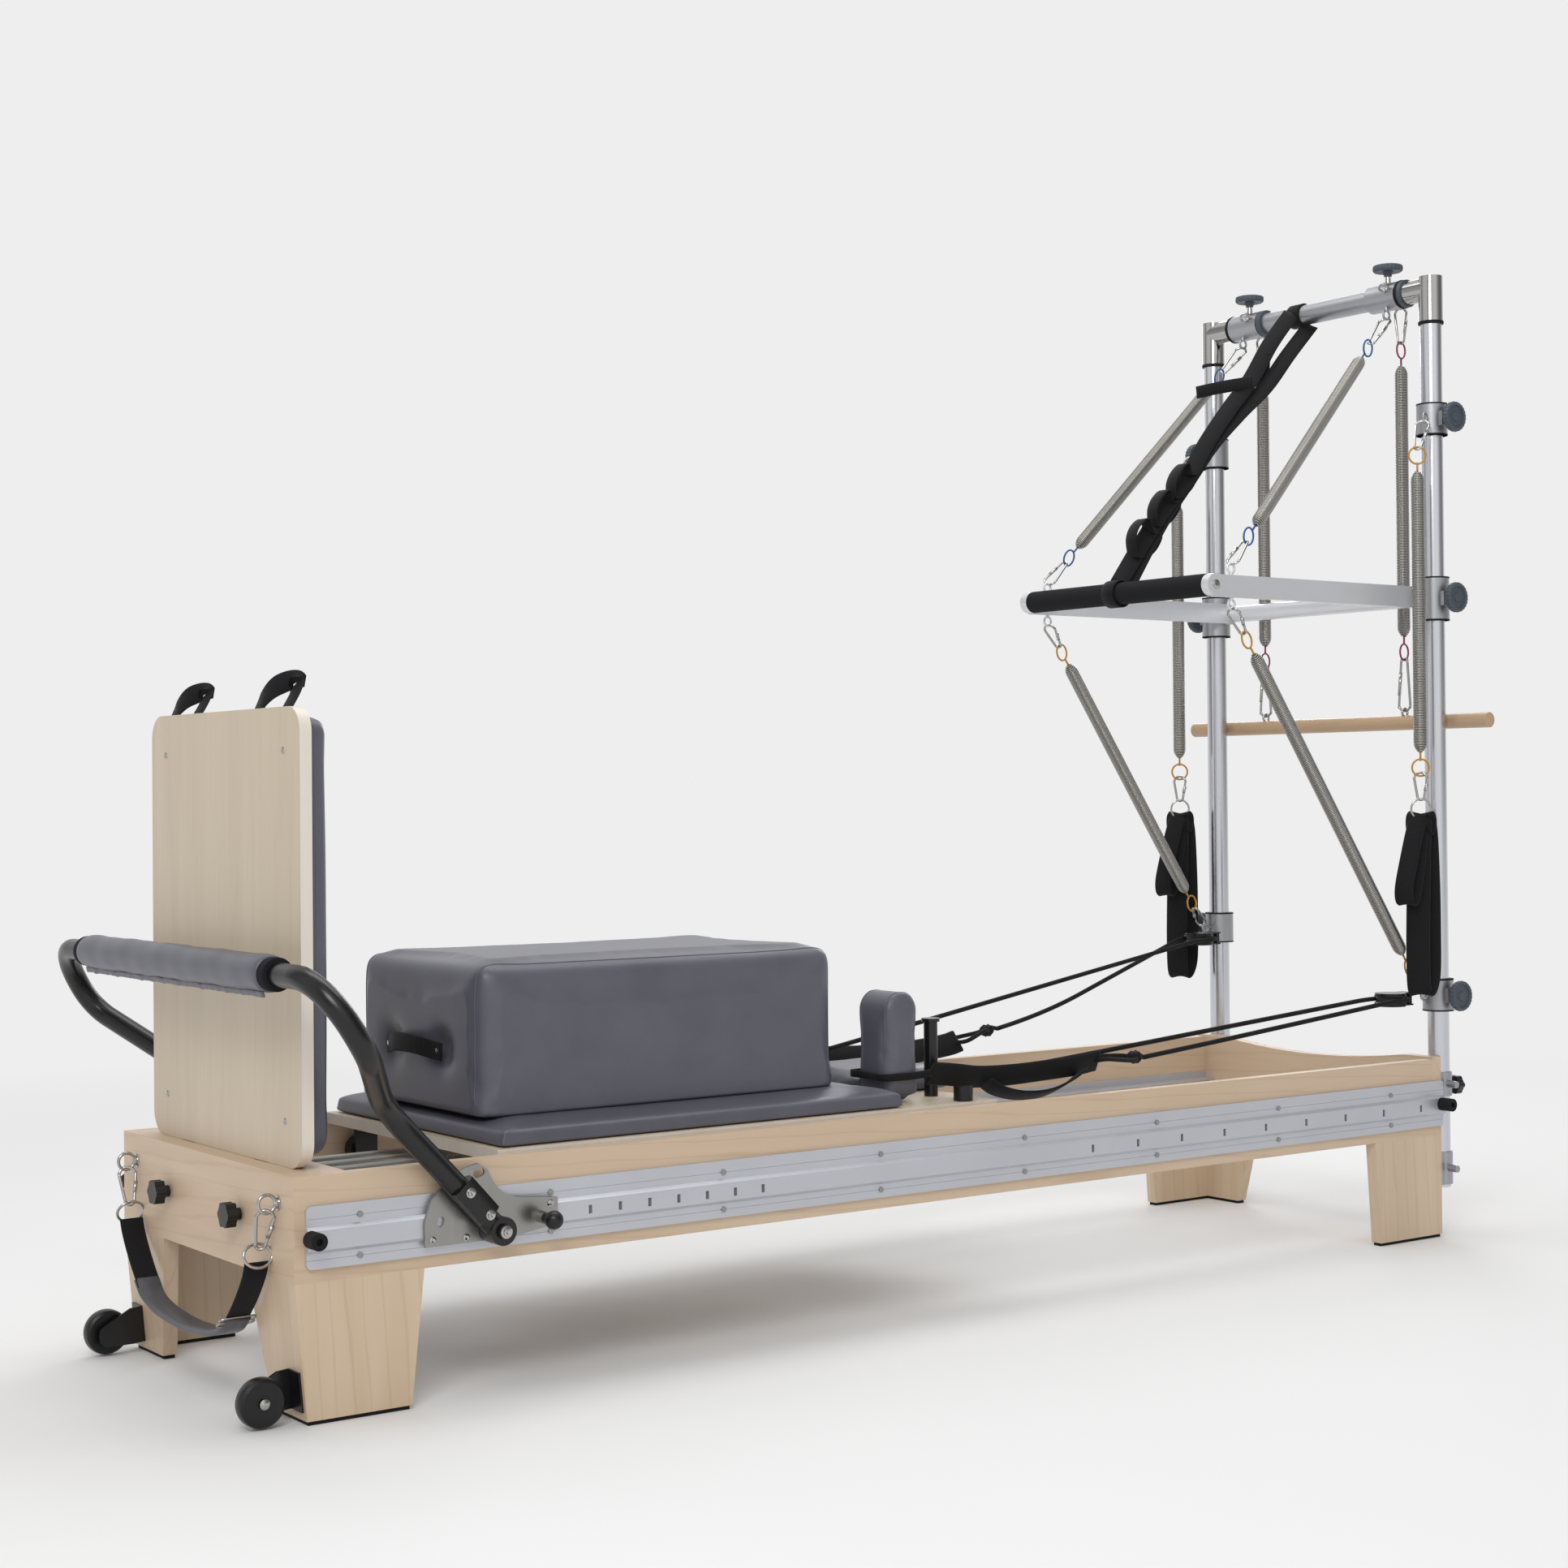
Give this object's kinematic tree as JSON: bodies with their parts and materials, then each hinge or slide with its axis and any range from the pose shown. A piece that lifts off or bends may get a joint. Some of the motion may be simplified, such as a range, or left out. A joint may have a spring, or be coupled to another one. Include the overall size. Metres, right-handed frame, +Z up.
{
  "type": "pilates reformer",
  "caption": "Wooden pilates reformer with rolling carriage, tilting footbar, jump board, sitting box and a spring tower with push-through bar.",
  "frame": {"origin": "middle of the footprint on the floor", "axes": "+X along the machine from the foot end to the tower, +Y across towards the far side, +Z up"},
  "size_m": [2.5928, 1.051, 1.941],
  "materials": {
    "maple": "clear satin maple",
    "laminate": "matt maple laminate",
    "dowel_wood": "oiled beech dowel",
    "leather": "slate grey grained faux leather",
    "black_steel": "satin black powder coat",
    "stainless": "brushed stainless",
    "tube_steel": "satin to polished plated tube",
    "collar_grey": "bead blasted",
    "rail_aluminium": "satin anodised extrusion",
    "bar_aluminium": "brushed anodised",
    "spring_steel": "oiled close-wound spring wire",
    "slate_plastic": "moulded slate knob",
    "black_plastic": "moulded black plastic",
    "rubber": "matt black rubber",
    "webbing": "black woven webbing",
    "rope_black": "braided black cord"
  },
  "bodies": {
    "frame": {"frame_boards": "maple", "legs": "maple", "rubber_feet": "rubber", "side_rails": "rail_aluminium", "rail_screws": "stainless", "spring_bar": "black_steel", "foot_fittings": "black_steel", "tower_frame": "tube_steel", "post_brackets": "collar_grey", "crossbar_collars": "collar_grey"},
    "carriage": {"carriage_deck": "maple", "carriage_pad": "leather", "carriage_fittings": "black_steel", "carriage_springs": "spring_steel", "near_rope": "rope_black", "far_rope": "rope_black"},
    "front_rollers": {"front_rollers": "black_plastic"},
    "rear_rollers": {"rear_rollers": "black_plastic"},
    "headrest": {"headrest": "leather"},
    "deck_knob": {"deck_knob": "black_plastic"},
    "near_shoulder_rest": {"near_shoulder_rest": "leather"},
    "far_shoulder_rest": {"far_shoulder_rest": "leather"},
    "sitting_box": {"sitting_box": "leather"},
    "footbar_slider": {"footbar_plates": "stainless"},
    "near_lock_pin": {"near_lock_pin": "black_plastic"},
    "far_lock_pin": {"far_lock_pin": "black_plastic"},
    "footbar": {"footbar_tube": "black_steel", "footbar_sleeve": "leather"},
    "jump_board": {"jump_board": "laminate", "jump_pad": "leather"},
    "transport_wheels": {"transport_wheels": "black_plastic"},
    "foot_sling": {"foot_sling": "webbing"},
    "mid_collars": {"mid_collars": "collar_grey"},
    "push_bar": {"push_bar": "bar_aluminium", "push_springs": "spring_steel", "ladder_strap": "webbing"},
    "roll_down_bar": {"roll_down_bar": "dowel_wood", "roll_down_springs": "spring_steel"},
    "near_upper_collar": {"near_upper_collar": "collar_grey"},
    "near_arm_spring": {"near_arm_spring": "spring_steel"},
    "near_upper_knob": {"near_upper_knob": "slate_plastic"},
    "near_mid_knob": {"near_mid_knob": "slate_plastic"},
    "near_lower_collar": {"near_lower_collar": "collar_grey", "near_pulley": "black_steel"},
    "near_lower_knob": {"near_lower_knob": "slate_plastic"},
    "near_sheave": {"near_sheave": "black_plastic"},
    "near_crossbar_knob": {"near_crossbar_knob": "slate_plastic"},
    "near_tower_knob": {"near_tower_knob": "black_plastic"},
    "near_foot_knob": {"near_foot_knob": "black_plastic"},
    "far_upper_collar": {"far_upper_collar": "collar_grey"},
    "far_arm_spring": {"far_arm_spring": "spring_steel"},
    "far_upper_knob": {"far_upper_knob": "slate_plastic"},
    "far_mid_knob": {"far_mid_knob": "slate_plastic"},
    "far_lower_collar": {"far_lower_collar": "collar_grey", "far_pulley": "black_steel"},
    "far_lower_knob": {"far_lower_knob": "slate_plastic"},
    "far_sheave": {"far_sheave": "black_plastic"},
    "far_crossbar_knob": {"far_crossbar_knob": "slate_plastic"},
    "far_tower_knob": {"far_tower_knob": "black_plastic"},
    "far_foot_knob": {"far_foot_knob": "black_plastic"}
  },
  "joints": [
    {"name": "carriage_slide", "type": "slide", "parent": "frame", "child": "carriage", "axis": [1, 0, 0], "range_m": [0, 0.9], "stiffness_N_per_m": 60, "springref_m": -0.05, "deforming": ["carriage_springs", "near_rope", "far_rope"]},
    {"name": "front_rollers_spin", "type": "hinge", "parent": "carriage", "child": "front_rollers", "pos_m": [-0.8204, 0, 0.2883], "axis": [0, 1, 0], "continuous": true},
    {"name": "rear_rollers_spin", "type": "hinge", "parent": "carriage", "child": "rear_rollers", "pos_m": [0.0296, 0, 0.2883], "axis": [0, 1, 0], "continuous": true},
    {"name": "headrest_tilt", "type": "hinge", "parent": "carriage", "child": "headrest", "pos_m": [-0.0774, 0, 0.375], "axis": [0, -1, 0], "range_deg": [0, 25]},
    {"name": "deck_knob_turn", "type": "hinge", "parent": "carriage", "child": "deck_knob", "pos_m": [0.0386, -0.27, 0.368], "axis": [0, 0, 1], "continuous": true},
    {"name": "near_shoulder_rest_lift", "type": "slide", "parent": "carriage", "child": "near_shoulder_rest", "axis": [0, 0, 1], "range_m": [0, 0.06]},
    {"name": "far_shoulder_rest_lift", "type": "slide", "parent": "carriage", "child": "far_shoulder_rest", "axis": [0, 0, 1], "range_m": [0, 0.06]},
    {"name": "sitting_box_lift", "type": "slide", "parent": "carriage", "child": "sitting_box", "axis": [0, 0, 1], "range_m": [0, 0.3]},
    {"name": "footbar_position", "type": "slide", "parent": "frame", "child": "footbar_slider", "axis": [1, 0, 0], "range_m": [-0.053, 0.03]},
    {"name": "near_lock_pin_pull", "type": "slide", "parent": "footbar_slider", "child": "near_lock_pin", "axis": [0, -1, 0], "range_m": [0, 0.008], "stiffness_N_per_m": 600, "springref_m": -0.005},
    {"name": "far_lock_pin_pull", "type": "slide", "parent": "footbar_slider", "child": "far_lock_pin", "axis": [0, 1, 0], "range_m": [0, 0.008], "stiffness_N_per_m": 600, "springref_m": -0.005},
    {"name": "footbar_tilt", "type": "hinge", "parent": "footbar_slider", "child": "footbar", "pos_m": [-0.9164, 0, 0.2495], "axis": [0, 1, 0], "range_deg": [-34, 2]},
    {"name": "jump_board_lift", "type": "slide", "parent": "frame", "child": "jump_board", "axis": [0, 0, 1], "range_m": [0, 0.13]},
    {"name": "transport_wheel_spin", "type": "hinge", "parent": "frame", "child": "transport_wheels", "pos_m": [-1.2611, 0, 0.0375], "axis": [0, 1, 0], "continuous": true},
    {"name": "foot_sling_swing", "type": "hinge", "parent": "frame", "child": "foot_sling", "pos_m": [-1.2374, 0, 0.295], "axis": [0, 1, 0], "range_deg": [0, 60]},
    {"name": "push_bar_height", "type": "slide", "parent": "frame", "child": "mid_collars", "axis": [0, 0, 1], "range_m": [-0.15, 0.15]},
    {"name": "push_bar_swing", "type": "hinge", "parent": "mid_collars", "child": "push_bar", "pos_m": [1.2411, 0, 1.262], "axis": [0, 1, 0], "range_deg": [-60, 75], "stiffness_Nm_per_rad": 150, "springref_deg": 15.76, "deforming": ["push_springs", "ladder_strap"]},
    {"name": "roll_down_pull", "type": "slide", "parent": "frame", "child": "roll_down_bar", "axis": [0, 0, -1], "range_m": [0, 0.3], "stiffness_N_per_m": 120, "springref_m": -0.6, "deforming": ["roll_down_springs"]},
    {"name": "near_upper_collar_height", "type": "slide", "parent": "frame", "child": "near_upper_collar", "axis": [0, 0, 1], "range_m": [-0.1, 0.13]},
    {"name": "near_arm_spring_swing", "type": "hinge", "parent": "near_upper_collar", "child": "near_arm_spring", "pos_m": [1.1796, -0.322, 1.606], "axis": [0, 1, 0], "range_deg": [0, 60]},
    {"name": "near_upper_knob_pull", "type": "slide", "parent": "near_upper_collar", "child": "near_upper_knob", "axis": [0, -1, 0], "range_m": [0, 0.008], "stiffness_N_per_m": 600, "springref_m": -0.005},
    {"name": "near_mid_knob_pull", "type": "slide", "parent": "mid_collars", "child": "near_mid_knob", "axis": [0, -1, 0], "range_m": [0, 0.008], "stiffness_N_per_m": 600, "springref_m": -0.005},
    {"name": "near_lower_collar_height", "type": "slide", "parent": "frame", "child": "near_lower_collar", "axis": [0, 0, 1], "range_m": [-0.08, 0.3]},
    {"name": "near_lower_knob_pull", "type": "slide", "parent": "near_lower_collar", "child": "near_lower_knob", "axis": [0, -1, 0], "range_m": [0, 0.008], "stiffness_N_per_m": 600, "springref_m": -0.005},
    {"name": "near_sheave_spin", "type": "hinge", "parent": "near_lower_collar", "child": "near_sheave", "pos_m": [1.1416, -0.262, 0.467], "axis": [0, 0, 1], "continuous": true},
    {"name": "near_crossbar_knob_pull", "type": "slide", "parent": "frame", "child": "near_crossbar_knob", "axis": [0, 0, 1], "range_m": [0, 0.008], "stiffness_N_per_m": 600, "springref_m": -0.008},
    {"name": "near_tower_knob_turn", "type": "hinge", "parent": "frame", "child": "near_tower_knob", "pos_m": [1.2796, -0.298, 0.292], "axis": [1, 0, 0], "continuous": true},
    {"name": "near_foot_knob_turn", "type": "hinge", "parent": "frame", "child": "near_foot_knob", "pos_m": [-1.2384, -0.135, 0.276], "axis": [1, 0, 0], "continuous": true},
    {"name": "far_upper_collar_height", "type": "slide", "parent": "frame", "child": "far_upper_collar", "axis": [0, 0, 1], "range_m": [-0.1, 0.13]},
    {"name": "far_arm_spring_swing", "type": "hinge", "parent": "far_upper_collar", "child": "far_arm_spring", "pos_m": [1.1796, 0.322, 1.606], "axis": [0, 1, 0], "range_deg": [0, 60]},
    {"name": "far_upper_knob_pull", "type": "slide", "parent": "far_upper_collar", "child": "far_upper_knob", "axis": [0, 1, 0], "range_m": [0, 0.008], "stiffness_N_per_m": 600, "springref_m": -0.005},
    {"name": "far_mid_knob_pull", "type": "slide", "parent": "mid_collars", "child": "far_mid_knob", "axis": [0, 1, 0], "range_m": [0, 0.008], "stiffness_N_per_m": 600, "springref_m": -0.005},
    {"name": "far_lower_collar_height", "type": "slide", "parent": "frame", "child": "far_lower_collar", "axis": [0, 0, 1], "range_m": [-0.19, 0.3]},
    {"name": "far_lower_knob_pull", "type": "slide", "parent": "far_lower_collar", "child": "far_lower_knob", "axis": [0, 1, 0], "range_m": [0, 0.008], "stiffness_N_per_m": 600, "springref_m": -0.005},
    {"name": "far_sheave_spin", "type": "hinge", "parent": "far_lower_collar", "child": "far_sheave", "pos_m": [1.1416, 0.262, 0.565], "axis": [0, 0, 1], "continuous": true},
    {"name": "far_crossbar_knob_pull", "type": "slide", "parent": "frame", "child": "far_crossbar_knob", "axis": [0, 0, 1], "range_m": [0, 0.008], "stiffness_N_per_m": 600, "springref_m": -0.008},
    {"name": "far_tower_knob_turn", "type": "hinge", "parent": "frame", "child": "far_tower_knob", "pos_m": [1.2796, 0.298, 0.292], "axis": [1, 0, 0], "continuous": true},
    {"name": "far_foot_knob_turn", "type": "hinge", "parent": "frame", "child": "far_foot_knob", "pos_m": [-1.2384, 0.135, 0.276], "axis": [1, 0, 0], "continuous": true}
  ],
  "couplings": [
    {"joint": "front_rollers_spin", "follows": "carriage_slide", "rad_per_m": 40},
    {"joint": "rear_rollers_spin", "follows": "carriage_slide", "rad_per_m": 40}
  ]
}
